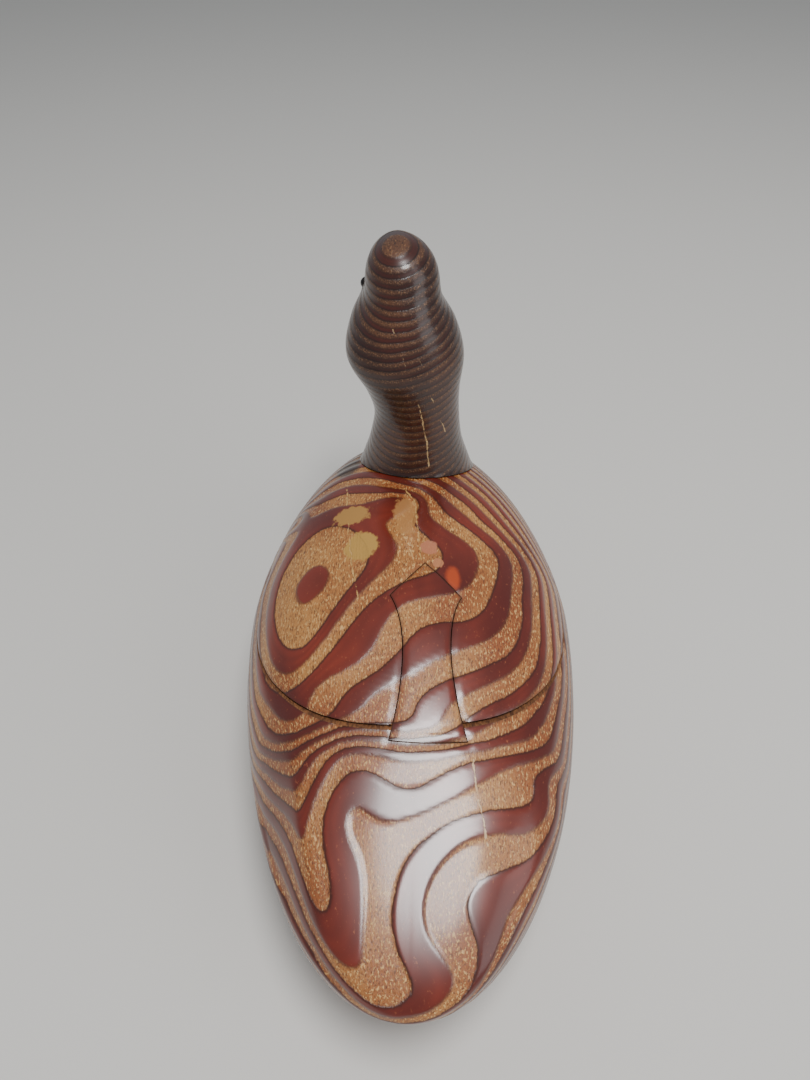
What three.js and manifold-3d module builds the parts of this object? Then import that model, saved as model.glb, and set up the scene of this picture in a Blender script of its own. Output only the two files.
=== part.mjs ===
// A carved wooden duck that is also a box: its back, neck and head lift off as a lid, and a
// bow-tie key let into the back holds the lid. Millimetres, +Z up, the bill towards -Y, the
// duck's left side towards +X, and the origin at the middle of the flat underside.
import * as THREE from 'three';
import { mergeVertices } from 'three/addons/utils/BufferGeometryUtils.js';
import Module from 'manifold-3d';

const wasm = await Module();
wasm.setup();

// The block that body, lid and key are sawn from, with the back's line and the keel's line.
const TAIL_Y = 123;
const BREAST_Y = -102;
const WIDEST_Y = -5;
const HALF_WIDTH = 57;
const WIDEST_HEIGHT = 42;
const BACK_HEIGHT = 86.5;
const TAIL_HEIGHT = 55;
const SHOULDER_DROP = 10;
const TAIL_LIFT = 4;
const TAIL_SWAY = 0.9;
const TAIL_UNDERSIDE = 42;
const BREAST_UNDERSIDE = 27;
const FLAT_HALF_LENGTH = 58;
const FLAT_TRIM = 1.5;

// The tail is cut flatter on top, with a broad facet down its left side: how far that facet leans
// in for each millimetre that it rises, how far it stands clear of the side, and how soft its edge is.
const TAIL_FULLNESS = 3.4;
const FACET = { start: 32, full: 76, lean: 0.6, clear: 0.7, softness: 1.6 };

// The saw cut that frees the lid: level along both sides, rising to the middle of the back.
const RIM_HEIGHT = 61;
const CUT_LEVEL_Y = 10;
const CUT_REAR_Y = 56;
const CUT_SWEEP = 1.35;
const LID_SHIFT = 1.9;
const GAP = 0.3;

// The bow-tie key, a little to the duck's right of the middle.
const KEY_X = -4.8;
const KEY_TIP_Y = 0;
const KEY_SHOULDER_Y = 13.4;
const KEY_END_Y = 58.5;
const KEY_END_BULGE = 1.5;
const KEY_HALF_WIDTH = 11.2;
const KEY_HALF_WAIST = 7.2;
const KEY_FLOOR = 68;

// The hollow inside the body, gouged from the rim down and a little smaller at its floor.
const HOLLOW_FLOOR = 10;
const HOLLOW_RIM = { front: -86, rear: 44, half: 43 };
const HOLLOW_FOOT = { front: -62, rear: 34, half: 34 };

// Neck and head, one carved piece, as level slices from the neck's foot to the crown: height, half
// width, how far each reaches back and forward of the neck's axis, and its shift to the left.
const NECK_X = -2.4;
const NECK_Y = -64;
const HEAD_TURN = THREE.MathUtils.degToRad(11);
const HEAD_EGG = 0.14;
const CROWN_DOME = 14;
const CROWN_FULLNESS = 2.9;
const NECK_SLICES = [
  { height: 64, half: 26, back: 27, fore: 27, shift: 0 },
  { height: 80, half: 20.3, back: 21, fore: 21.5, shift: 0 },
  { height: 90, half: 17.2, back: 18, fore: 18.5, shift: 0 },
  { height: 102, half: 15.6, back: 15.8, fore: 18, shift: -0.3 },
  { height: 112, half: 17.2, back: 15, fore: 23, shift: 1 },
  { height: 123, half: 20.7, back: 13.6, fore: 32, shift: 3 },
  { height: 133, half: 18.4, back: 10.4, fore: 35, shift: 3 },
  { height: 142, half: 13.4, back: 6.5, fore: 34, shift: 2.9 },
  { height: 150, half: 12.3, back: 2.5, fore: 31, shift: 2.9 },
  { height: 161, half: 11, back: 0.5, fore: 30, shift: 2.9 },
];

// The bill grows out of the face, as upright slices from inside the head to its tip: distance
// forward of the neck's axis, half width, and the heights of its ridge and of its underside.
const BILL_SLICES = [
  { forward: 14, half: 12, top: 143, under: 110 },
  { forward: 27, half: 11.6, top: 139, under: 113.5 },
  { forward: 36, half: 9.3, top: 132.5, under: 116.5 },
  { forward: 44, half: 8.3, top: 127.2, under: 117.3 },
  { forward: 53, half: 8.7, top: 123.6, under: 117 },
  { forward: 60, half: 8.4, top: 121.6, under: 116.8 },
];

// The eyes are beads set in round sockets.
const EYE = { radius: 2.2, forward: 22, height: 142, proud: 1.5 };

const { smoothstep, lerp, clamp } = THREE.MathUtils;
const signedPower = (value, power) => Math.sign(value) * Math.abs(value) ** power;

// A closed three.js geometry as a solid.
function solid(geometry) {
  const bare = geometry.clone();
  bare.deleteAttribute('normal');
  bare.deleteAttribute('uv');
  const merged = mergeVertices(bare, 1e-3);
  return new wasm.Manifold(new wasm.Mesh({
    numProp: 3,
    vertProperties: merged.attributes.position.array,
    triVerts: new Uint32Array(merged.index.array),
  }));
}

// A solid as a geometry with flat faces.
function geometryOf(manifold) {
  const mesh = manifold.getMesh();
  const geometry = new THREE.BufferGeometry();
  geometry.setAttribute('position', new THREE.BufferAttribute(mesh.vertProperties, 3));
  geometry.setIndex(new THREE.BufferAttribute(mesh.triVerts, 1));
  const flat = geometry.toNonIndexed();
  flat.computeVertexNormals();
  return flat;
}

// A ball drawn out into a carved form: place(turn, pole, point) puts every point of it, where
// turn goes round the ball's axis and pole runs along it from -1 to 1.
function carvedBall(around, along, place) {
  const ball = new THREE.SphereGeometry(1, around, along);
  const at = ball.attributes.position;
  const point = new THREE.Vector3();
  for (let i = 0; i < at.count; i++) {
    point.fromBufferAttribute(at, i);
    const onAxis = Math.hypot(point.x, point.z) < 1e-6;
    const turn = onAxis ? 0 : Math.atan2(point.z, point.x);
    place(turn, clamp(point.y, -1, 1), point);
    at.setXYZ(i, point.x, point.y, point.z);
  }
  return ball;
}

// The line of the back from tail to shoulder, before its ends are rounded.
function backLine(y) {
  const tail = lerp(TAIL_HEIGHT, BACK_HEIGHT, smoothstep(-y, -TAIL_Y - 13, 0));
  return tail - SHOULDER_DROP * smoothstep(-y, 25, -BREAST_Y);
}

// The underside: flat in the middle, rising to the tail and to the breast.
function keelLine(y) {
  const past = Math.max(Math.abs(y) - FLAT_HALF_LENGTH, 0);
  const toTail = y > 0;
  const share = past / (Math.abs(toTail ? TAIL_Y : BREAST_Y) - FLAT_HALF_LENGTH);
  const rise = FLAT_TRIM + (toTail ? TAIL_UNDERSIDE : BREAST_UNDERSIDE);
  return rise * share ** (toTail ? 1.35 : 1.6) - FLAT_TRIM;
}

// A section point of the tail, cut back to the facet down its left side: across from the middle,
// rise above the widest height, and the half width there.
function facetCut(across, rise, half, y) {
  const outward = Math.hypot(1, FACET.lean);
  const beyond = (across - half - FACET.clear + FACET.lean * rise) / outward;
  const cut = (beyond + Math.hypot(beyond, FACET.softness)) / 2 * smoothstep(y, FACET.start, FACET.full);
  const shared = rise > 0 && across > 0 ? cut * Math.min(rise / 4, 1) : 0;
  return [across - shared / outward, rise - shared * FACET.lean / outward];
}

// The whole block: body, lid and key before they are sawn apart.
function block(around, along) {
  return carvedBall(around, along, (turn, pole, point) => {
    const toTail = pole > 0;
    const y = WIDEST_Y + pole * Math.abs((toTail ? TAIL_Y : BREAST_Y) - WIDEST_Y);
    const reach = Math.abs(pole);
    const half = HALF_WIDTH * Math.sqrt(1 - reach ** (toTail ? 1.9 : 1.6));
    const rounding = Math.sqrt(1 - reach ** (toTail ? 10 : 5.5));
    const sway = TAIL_SWAY * smoothstep(y, 70, TAIL_Y);
    const widest = WIDEST_HEIGHT + TAIL_LIFT * reach ** 2 * (toTail ? 1 : 0.5);
    const [across, up] = [Math.cos(turn), Math.sin(turn)];
    const fullness = up < 0 ? 2.6 : lerp(2.2, TAIL_FULLNESS, smoothstep(y, 40, 100));
    const limit = (up < 0 ? widest - keelLine(y) : backLine(y) - widest) * rounding;
    const out = half * signedPower(across, 2 / fullness);
    const [x, rise] = facetCut(out, limit * signedPower(up, 2 / fullness), half, y);
    point.set(sway + x, y, Math.max(widest + rise, 0));
  });
}

// An outline drawn in side view, y then z, as a slab right across the block.
function slabAcross(outline) {
  const slab = new THREE.ExtrudeGeometry(outline, { depth: 200, bevelEnabled: false });
  return slab.rotateX(Math.PI / 2).rotateZ(Math.PI / 2).translate(-100, 0, 0);
}

// Everything above the saw cut, moved forward and up by the two shifts.
function aboveCut(forward, up) {
  const rise = backLine(CUT_REAR_Y) - RIM_HEIGHT;
  const [front, top, steps] = [-140, 220, 16];
  const outline = new THREE.Shape();
  outline.moveTo(front, RIM_HEIGHT + up);
  for (let i = 0; i <= steps; i++) {
    const y = lerp(CUT_LEVEL_Y, CUT_REAR_Y + 8, i / steps);
    const share = (y - CUT_LEVEL_Y) / (CUT_REAR_Y - CUT_LEVEL_Y);
    outline.lineTo(y - forward, RIM_HEIGHT + rise * share ** CUT_SWEEP + up);
  }
  outline.lineTo(CUT_REAR_Y + 8, top);
  outline.lineTo(front, top);
  return solid(slabAcross(outline));
}

// The key's outline, spread outwards by a clearance, as a prism from a floor up.
function keyPrism(spread, floor) {
  const [tip, end] = [KEY_TIP_Y - spread * 1.3, KEY_END_Y + spread];
  const [half, waist] = [KEY_HALF_WIDTH + spread, KEY_HALF_WAIST + spread];
  const waistY = lerp(KEY_SHOULDER_Y, KEY_END_Y, 0.42);
  const outline = new THREE.Shape();
  outline.moveTo(0, tip);
  outline.lineTo(half, KEY_SHOULDER_Y);
  outline.quadraticCurveTo(waist, lerp(KEY_SHOULDER_Y, waistY, 0.4), waist, waistY);
  outline.quadraticCurveTo(waist, lerp(waistY, end, 0.45), half, end);
  outline.quadraticCurveTo(0, end + KEY_END_BULGE, -half, end);
  outline.quadraticCurveTo(-waist, lerp(waistY, end, 0.45), -waist, waistY);
  outline.quadraticCurveTo(-waist, lerp(KEY_SHOULDER_Y, waistY, 0.4), -half, KEY_SHOULDER_Y);
  const prism = new THREE.ExtrudeGeometry(outline, { depth: 60, bevelEnabled: false, curveSegments: 6 });
  return solid(prism.translate(KEY_X, 0, floor));
}

// The hollow as level slices, running up past the rim.
function hollow() {
  const height = RIM_HEIGHT - HOLLOW_FLOOR;
  return solid(carvedBall(36, 14, (turn, pole, point) => {
    const climb = (pole + 1) / 2;
    const spread = Math.min(climb * 1.3, 1) ** 0.5;
    const front = lerp(HOLLOW_FOOT.front, HOLLOW_RIM.front, spread);
    const rear = lerp(HOLLOW_FOOT.rear, HOLLOW_RIM.rear, spread);
    const half = lerp(HOLLOW_FOOT.half, HOLLOW_RIM.half, spread);
    const size = Math.sqrt(1 - pole ** 12);
    const along = (rear - front) / 2 * size * signedPower(-Math.sin(turn), 0.85);
    const across = half * size * signedPower(Math.cos(turn), 0.85);
    point.set(across, (front + rear) / 2 + along, HOLLOW_FLOOR + climb * (height + 14));
  }));
}

// One measure of a list of slices, along a smooth curve through them: the slices are in order of
// the measure named by place, and value is how far along it the curve is read.
function measureAt(slices, place, value, name) {
  const last = slices.length - 1;
  const slope = (i) => {
    const [before, after] = [slices[Math.max(i - 1, 0)], slices[Math.min(i + 1, last)]];
    return (after[name] - before[name]) / (after[place] - before[place]);
  };
  let i = 0;
  while (i < last - 1 && value > slices[i + 1][place]) i++;
  const [low, high] = [slices[i], slices[i + 1]];
  const step = high[place] - low[place];
  const t = clamp((value - low[place]) / step, 0, 1);
  const blend = low[name] * (1 + 2 * t) + slope(i) * step * t;
  return blend * (1 - t) ** 2 + (high[name] * (3 - 2 * t) + slope(i + 1) * step * (t - 1)) * t * t;
}

// The head's parts are made straight ahead on an axis at the origin, then turned to the left.
function posed(geometry) {
  return geometry.rotateZ(HEAD_TURN).translate(NECK_X, NECK_Y, 0);
}

// A level slice of neck or head: its middle, its half width and half length.
function neckSlice(height) {
  const measure = (name) => measureAt(NECK_SLICES, 'height', height, name);
  const crown = NECK_SLICES[NECK_SLICES.length - 1].height;
  const intoDome = Math.max(height - crown + CROWN_DOME, 0) / CROWN_DOME;
  const dome = Math.sqrt(Math.max(1 - intoDome ** CROWN_FULLNESS, 0));
  return {
    x: measure('shift'),
    y: (measure('back') - measure('fore')) / 2,
    half: measure('half') * dome,
    reach: (measure('back') + measure('fore')) / 2 * dome,
    egg: HEAD_EGG * smoothstep(height, 105, 125),
  };
}

function neckAndHead() {
  const [foot, crown] = [NECK_SLICES[0].height, NECK_SLICES[NECK_SLICES.length - 1].height];
  return carvedBall(30, 28, (turn, pole, point) => {
    const height = lerp(foot, crown, (pole + 1) / 2);
    const slice = neckSlice(height);
    const closing = pole > -0.98 ? 1 : 0;
    const rearward = -Math.sin(turn) * closing;
    const across = Math.cos(turn) * closing * (1 + slice.egg * rearward);
    point.set(slice.x + slice.half * across, slice.y + slice.reach * rearward, height);
  });
}

// The bill: deep where it leaves the face, broad and flat at the tip.
function bill() {
  const [root, tip] = [BILL_SLICES[0].forward, BILL_SLICES[BILL_SLICES.length - 1].forward];
  const middle = neckSlice(BILL_SLICES[0].top).x;
  return carvedBall(20, 20, (turn, pole, point) => {
    const forward = lerp(tip, root, (pole + 1) / 2);
    const measure = (name) => measureAt(BILL_SLICES, 'forward', forward, name);
    const rounding = Math.sqrt(1 - Math.abs(pole) ** 7);
    const [top, under] = [measure('top'), measure('under')];
    const level = lerp(under, top, 0.4);
    const rise = Math.sin(turn) > 0 ? top - level : level - under;
    const x = middle + measure('half') * rounding * signedPower(Math.cos(turn), 0.85);
    point.set(x, -forward, level + rise * rounding * signedPower(Math.sin(turn), 0.9));
  });
}

// An eye bead, or the socket that is cut for it. Side is 1 for the duck's left, -1 for its right.
function eyeBall(side, radius) {
  const slice = neckSlice(EYE.height);
  const rearward = (-EYE.forward - slice.y) / slice.reach;
  const cheek = slice.half * (1 + slice.egg * rearward) * Math.sqrt(1 - rearward ** 2);
  const x = slice.x + side * (cheek + EYE.proud - EYE.radius);
  return new THREE.SphereGeometry(radius, 14, 8).translate(x, -EYE.forward, EYE.height);
}

const wood = new THREE.MeshStandardMaterial({ color: '#7d3a1f', roughness: 0.4 });
const keyWood = new THREE.MeshStandardMaterial({ color: '#80462a', roughness: 0.4 });
const darkWood = new THREE.MeshStandardMaterial({ color: '#3d1d14', roughness: 0.35 });
const bead = new THREE.MeshStandardMaterial({ color: '#0b0908', roughness: 0.1 });

const duck = new THREE.Group();
function piece(name, geometry, material) {
  const mesh = new THREE.Mesh(geometry, material);
  mesh.name = name;
  duck.add(mesh);
}

const carved = block(56, 38);
const whole = solid(carved);
const keySeat = keyPrism(GAP, KEY_FLOOR - GAP);
const bodyBelow = whole.subtract(aboveCut(0, 0)).subtract(hollow());
piece('body', geometryOf(bodyBelow.subtract(keySeat)), wood);
piece('lid', geometryOf(whole.intersect(aboveCut(LID_SHIFT, GAP)).subtract(keySeat)), wood);
piece('locking_key', geometryOf(whole.intersect(keyPrism(0, KEY_FLOOR))), keyWood);

const justAbove = solid(carved.clone().translate(0, 0, GAP));
let head = solid(posed(neckAndHead())).add(solid(posed(bill()))).subtract(justAbove);
for (const [side, name] of [[1, 'eye_left'], [-1, 'eye_right']]) {
  head = head.subtract(solid(posed(eyeBall(side, EYE.radius + GAP))));
  piece(name, posed(eyeBall(side, EYE.radius)), bead);
}
piece('head_and_neck', geometryOf(head), darkWood);

export default duck;
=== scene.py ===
import math

import bmesh
import bpy
import numpy as np
from mathutils import Matrix, Vector
from mathutils.bvhtree import BVHTree
from mathutils.kdtree import KDTree


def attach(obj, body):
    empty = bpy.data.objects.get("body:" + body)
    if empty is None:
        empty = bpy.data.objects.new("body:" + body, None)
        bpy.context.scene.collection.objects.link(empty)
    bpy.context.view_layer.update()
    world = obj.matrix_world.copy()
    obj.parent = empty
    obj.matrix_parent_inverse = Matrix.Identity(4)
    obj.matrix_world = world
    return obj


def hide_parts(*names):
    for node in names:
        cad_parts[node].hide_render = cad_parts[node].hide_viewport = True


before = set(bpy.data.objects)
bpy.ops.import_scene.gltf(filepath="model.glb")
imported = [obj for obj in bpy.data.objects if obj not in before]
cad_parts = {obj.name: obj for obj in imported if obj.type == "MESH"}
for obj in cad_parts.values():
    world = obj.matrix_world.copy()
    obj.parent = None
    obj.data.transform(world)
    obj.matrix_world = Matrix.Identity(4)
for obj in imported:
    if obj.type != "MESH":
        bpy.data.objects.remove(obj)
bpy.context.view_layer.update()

# The body: one block of flat-sawn softwood, carved as a duck and sawn along the sides so that its
# back comes away as the lid. It is gouged out from the cut down, its soft rings are brushed back so
# that the hard ones stand proud, and it is stained and lacquered.
TAIL_Y, BREAST_Y, WIDEST_Y = 0.123, -0.102, -0.005
HALF_WIDTH, WIDEST_HEIGHT = 0.057, 0.042
BACK_HEIGHT, TAIL_HEIGHT, SHOULDER_DROP = 0.0865, 0.055, 0.010
TAIL_LIFT, TAIL_SWAY, TAIL_UNDERSIDE, BREAST_UNDERSIDE = 0.004, 0.0009, 0.042, 0.027
FLAT_HALF_LENGTH, FLAT_TRIM = 0.058, 0.0015
TAIL_FULLNESS = 3.4
FACET_START, FACET_FULL, FACET_LEAN, FACET_CLEAR, FACET_SOFT = 0.032, 0.076, 0.6, 0.0007, 0.0016
RIM_HEIGHT, CUT_LEVEL_Y, CUT_REAR_Y, CUT_SWEEP = 0.061, 0.010, 0.056, 1.35
GAP = 0.0003
HOLLOW_FLOOR = 0.010
HOLLOW_RIM = {"front": -0.086, "rear": 0.044, "half": 0.043}
HOLLOW_FOOT = {"front": -0.062, "rear": 0.034, "half": 0.034}


def smoothstep(value, low, high):
    share = np.clip((value - low) / (high - low), 0, 1)
    return share * share * (3 - 2 * share)


def lerp(low, high, share):
    return low + (high - low) * share


def signed_power(value, power):
    return np.sign(value) * np.abs(value) ** power


def back_line(y):
    """The line of the back from tail to shoulder, before its ends are rounded."""
    tail = lerp(TAIL_HEIGHT, BACK_HEIGHT, smoothstep(-y, -TAIL_Y - 0.013, 0))
    return tail - SHOULDER_DROP * smoothstep(-y, 0.025, -BREAST_Y)


def keel_line(y):
    """The underside: flat in the middle, rising to the tail and to the breast."""
    to_tail = y > 0
    reach = np.where(to_tail, TAIL_Y, -BREAST_Y) - FLAT_HALF_LENGTH
    share = np.maximum(np.abs(y) - FLAT_HALF_LENGTH, 0) / reach
    rise = FLAT_TRIM + np.where(to_tail, TAIL_UNDERSIDE, BREAST_UNDERSIDE)
    return rise * share ** np.where(to_tail, 1.35, 1.6) - FLAT_TRIM


def facet_cut(across, rise, half, y):
    """A section point of the tail, cut back to the broad facet down its left side."""
    outward = math.hypot(1, FACET_LEAN)
    beyond = (across - half - FACET_CLEAR + FACET_LEAN * rise) / outward
    cut = (beyond + np.hypot(beyond, FACET_SOFT)) / 2 * smoothstep(y, FACET_START, FACET_FULL)
    shared = np.where((rise > 0) & (across > 0), cut * np.minimum(rise / 0.004, 1), 0)
    return across - shared / outward, rise - shared * FACET_LEAN / outward


def block_skin(turn, pole):
    """Points of the carved block: turn goes round it and pole runs along it from -1 to 1."""
    to_tail = pole > 0
    y = WIDEST_Y + pole * np.abs(np.where(to_tail, TAIL_Y, BREAST_Y) - WIDEST_Y)
    reach = np.abs(pole)
    half = HALF_WIDTH * np.sqrt(1 - reach ** np.where(to_tail, 1.9, 1.6))
    rounding = np.sqrt(1 - reach ** np.where(to_tail, 10, 5.5))
    widest = WIDEST_HEIGHT + TAIL_LIFT * reach**2 * np.where(to_tail, 1, 0.5)
    across, up = np.cos(turn), np.sin(turn)
    fullness = np.where(up < 0, 2.6, lerp(2.2, TAIL_FULLNESS, smoothstep(y, 0.040, 0.100)))
    limit = np.where(up < 0, widest - keel_line(y), back_line(y) - widest) * rounding
    out = half * signed_power(across, 2 / fullness)
    x, rise = facet_cut(out, limit * signed_power(up, 2 / fullness), half, y)
    sway = TAIL_SWAY * smoothstep(y, 0.070, TAIL_Y)
    return np.stack([sway + x, y, np.maximum(widest + rise, 0)], -1)


def carved_mesh(name, shape, around, along):
    """A closed skin of even faces over shape(turn, pole), with a point at each pole."""
    fine = np.linspace(0, 2 * np.pi, 1441)
    rows = []
    for pole in -np.cos(np.linspace(0, np.pi, along + 1))[1:-1]:
        line = shape(fine, np.full_like(fine, pole))
        walked = np.append(0, np.cumsum(np.linalg.norm(np.diff(line, axis=0), axis=1)))
        even = np.linspace(0, walked[-1], around, endpoint=False)
        rows.append(np.stack([np.interp(even, walked, line[:, axis]) for axis in range(3)], -1))
    ends = [shape(fine, np.full_like(fine, pole)).mean(0) for pole in (-1.0, 1.0)]
    points = np.concatenate([*rows, ends])
    first, last = len(points) - 2, len(points) - 1
    faces = []
    for row in range(len(rows) - 1):
        for step in range(around):
            low, high = row * around, (row + 1) * around
            after = (step + 1) % around
            faces.append((low + step, high + step, high + after, low + after))
    top = (len(rows) - 1) * around
    for step in range(around):
        after = (step + 1) % around
        faces.append((first, step, after))
        faces.append((last, top + after, top + step))
    mesh = bpy.data.meshes.new(name)
    mesh.from_pydata(points.tolist(), [], faces)
    return mesh


def prism(name, outline, place, low, high):
    """An outline drawn out between two planes; place puts (along, up, depth) into the frame."""
    mesh = bpy.data.meshes.new(name)
    shell = bmesh.new()
    ends = [[shell.verts.new(place(a, b, depth)) for a, b in outline] for depth in (low, high)]
    shell.faces.new(ends[0])
    shell.faces.new(reversed(ends[1]))
    for i in range(len(outline)):
        j = (i + 1) % len(outline)
        shell.faces.new((ends[0][j], ends[0][i], ends[1][i], ends[1][j]))
    bmesh.ops.recalc_face_normals(shell, faces=shell.faces)
    shell.to_mesh(mesh)
    shell.free()
    return mesh


def above_cut(forward, up):
    """Everything above the saw cut, moved forward and up by the two shifts."""
    rise = back_line(CUT_REAR_Y) - RIM_HEIGHT
    outline = [(-0.14, RIM_HEIGHT + up)]
    for share in np.linspace(0, 1 + 0.008 / (CUT_REAR_Y - CUT_LEVEL_Y), 25):
        y = lerp(CUT_LEVEL_Y, CUT_REAR_Y, share)
        outline.append((y - forward, RIM_HEIGHT + rise * share**CUT_SWEEP + up))
    outline += [(CUT_REAR_Y + 0.008, 0.22), (-0.14, 0.22)]
    return prism("above_cut", outline, lambda y, z, x: (x, y, z), -0.1, 0.1)


def hollow_skin(turn, pole):
    """The hollow, gouged from the rim down and a little smaller at its floor."""
    climb = (pole + 1) / 2
    spread = np.minimum(climb * 1.3, 1) ** 0.5
    front, rear, half = (
        lerp(HOLLOW_FOOT[name], HOLLOW_RIM[name], spread) for name in ("front", "rear", "half")
    )
    size = np.sqrt(1 - pole**12)
    along = (rear - front) / 2 * size * signed_power(-np.sin(turn), 0.85)
    across = half * size * signed_power(np.cos(turn), 0.85)
    height = HOLLOW_FLOOR + climb * (RIM_HEIGHT - HOLLOW_FLOOR + 0.014)
    return np.stack([across, (front + rear) / 2 + along, height], -1)


def solid(name, mesh):
    thing = bpy.data.objects.new(name, mesh)
    bpy.context.scene.collection.objects.link(thing)
    return thing


def evaluated(thing):
    """What an object's modifiers make of it, as a plain mesh; the modifiers are removed."""
    bpy.context.view_layer.update()
    graph = bpy.context.evaluated_depsgraph_get()
    mesh = bpy.data.meshes.new_from_object(thing.evaluated_get(graph), depsgraph=graph)
    thing.modifiers.clear()
    return mesh


def cut(name, mesh, *steps):
    """A new mesh: the first one cut by, joined to or kept inside the others in turn."""
    work = solid(name, mesh.copy())
    tools = []
    for operation, tool in steps:
        tools.append(solid("tool", tool))
        step = work.modifiers.new("cut", "BOOLEAN")
        step.operation, step.solver, step.object = operation, "MANIFOLD", tools[-1]
    made = evaluated(work)
    for used in (work, *tools):
        bpy.data.objects.remove(used)
    return made


# The growth rings are nearly round shells about a pith that lies under the block. Each swell pushes
# them out or in: where it lies, how far it reaches across and along, its turn, and how many rings.
PITH_X, PITH_Z, PITH_DRIFT_X, PITH_DRIFT_Z = -0.0181, -0.0342, 0.110, -0.129
RING_WIDTH, OUTER_RING = 0.00287, 42.12
SWELLS = [
    (0.0008, 0.1289, 0.0339, 0.0183, 0.24, -2.04),
    (0.0211, 0.0698, 0.0249, 0.0173, 1.38, 3.0),
    (0.0030, 0.0216, 0.0234, 0.0196, -0.4, 1.29),
    (-0.0219, 0.0829, 0.0409, 0.0351, 1.6, 3.0),
    (-0.0416, -0.0099, 0.0132, 0.0286, 1.57, -0.93),
    (0.0225, 0.0289, 0.0070, 0.0239, -0.59, 0.53),
    (0.0458, -0.0383, 0.0070, 0.0070, 0.39, -2.99),
    (-0.0195, 0.0625, 0.0450, 0.0070, -0.1, 1.76),
    (-0.0029, 0.0582, 0.0074, 0.0410, 1.39, -1.75),
    (0.0037, -0.0295, 0.0102, 0.0070, 0.24, -1.09),
]


def block_rings(points):
    """The growth ring at each point, as a number that counts one for every ring."""
    x, y, z = points.T
    from_pith = np.hypot(x - PITH_X - PITH_DRIFT_X * y, z - PITH_Z - PITH_DRIFT_Z * y)
    rings = OUTER_RING - from_pith / RING_WIDTH
    for swell_x, swell_y, reach_x, reach_y, turn, count in SWELLS:
        across = (x - swell_x) * math.cos(turn) + (y - swell_y) * math.sin(turn)
        along = (y - swell_y) * math.cos(turn) - (x - swell_x) * math.sin(turn)
        rings += count * np.exp(-((across / reach_x) ** 2) - (along / reach_y) ** 2)
    return rings


def mark_surface(mesh, outside, rings):
    """Gives a cut piece what its looks are worked out from. Points carry ring, the growth ring
    there; pace, the rings crossed in a millimetre; out, which way the carved surface faces;
    edge, how far the nearest sawn edge is in millimetres. Sawn faces take the second material."""
    count = len(mesh.vertices)
    points = np.zeros(count * 3)
    mesh.vertices.foreach_get("co", points)
    points = points.reshape(-1, 3)
    out = np.zeros((count, 3))
    for i, point in enumerate(points):
        _, normal, _, distance = outside.find_nearest(point)
        if distance < 2e-5:
            out[i] = normal
    sawn = np.zeros(len(mesh.polygons), bool)
    for face in mesh.polygons:
        sawn[face.index] = outside.find_nearest(face.center)[3] > 3e-5
    edge_points = set()
    carved_points = set()
    for face in mesh.polygons:
        (edge_points if sawn[face.index] else carved_points).update(face.vertices)
    edge_points &= carved_points
    tree = KDTree(max(len(edge_points), 1))
    for i in edge_points:
        tree.insert(points[i], i)
    tree.balance()
    edge = np.full(count, 9.0)
    if edge_points:
        for i in carved_points:
            edge[i] = min(tree.find(points[i])[2] * 1000, 9.0)
    step = 2e-4
    slope = np.stack(
        [(rings(points + d) - rings(points - d)) / (2 * step) for d in np.eye(3) * step], -1
    )
    slope -= out * (slope * out).sum(1, keepdims=True)
    pace = np.linalg.norm(slope, axis=1) / 1000
    for name, values in (("ring", rings(points)), ("pace", pace), ("edge", edge)):
        mesh.attributes.new(name, "FLOAT", "POINT").data.foreach_set("value", values)
    mesh.attributes.new("out", "FLOAT_VECTOR", "POINT").data.foreach_set("vector", out.ravel())
    mesh.attributes.new("sawn", "BOOLEAN", "FACE").data.foreach_set("value", sawn)
    mesh.polygons.foreach_set("use_smooth", np.ones(len(sawn), bool))
    sides = {}
    for face in mesh.polygons:
        for key in face.edge_keys:
            sides.setdefault(key, set()).add(bool(sawn[face.index]))
    sharp = np.array([len(sides.get(tuple(sorted(e.vertices)), ())) > 1 for e in mesh.edges])
    mesh.attributes.new("sharp_edge", "BOOLEAN", "EDGE").data.foreach_set("value", sharp)


def node(tree, kind, inputs=(), **settings):
    """A node with its settings, each input given as a value or as another node's output."""
    made = tree.nodes.new(kind)
    for name, value in settings.items():
        setattr(made, name, value)
    for key, value in inputs.items() if isinstance(inputs, dict) else enumerate(inputs):
        if isinstance(value, bpy.types.NodeSocket):
            tree.links.new(value, made.inputs[key])
        else:
            made.inputs[key].default_value = value
    return made


def calc(tree, operation, *values, clamp=False):
    return node(tree, "ShaderNodeMath", values, operation=operation, use_clamp=clamp).outputs[0]


def ramp(tree, value, low, high, to_low=0.0, to_high=1.0):
    """A soft step from to_low to to_high as value passes from low to high."""
    inputs = {"Value": value, "From Min": low, "From Max": high, "To Min": to_low, "To Max": to_high}
    made = node(tree, "ShaderNodeMapRange", inputs, interpolation_type="SMOOTHSTEP")
    return made.outputs["Result"]


def named_tree(name, kind, takes, gives):
    """An empty node group with named inputs, each with its usual value, and named outputs."""
    tree = bpy.data.node_groups.new(name, kind)
    for direction, sockets in (("INPUT", takes), ("OUTPUT", gives)):
        for label, (socket_type, usual) in sockets.items():
            socket = tree.interface.new_socket(label, in_out=direction, socket_type=socket_type)
            if usual is not None:
                socket.default_value = usual
    return tree, tree.nodes.new("NodeGroupInput").outputs, tree.nodes.new("NodeGroupOutput").inputs


NUMBER, VECTOR, COLOUR, SHAPE = (
    "NodeSocketFloat", "NodeSocketVector", "NodeSocketColor", "NodeSocketGeometry"
)


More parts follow.
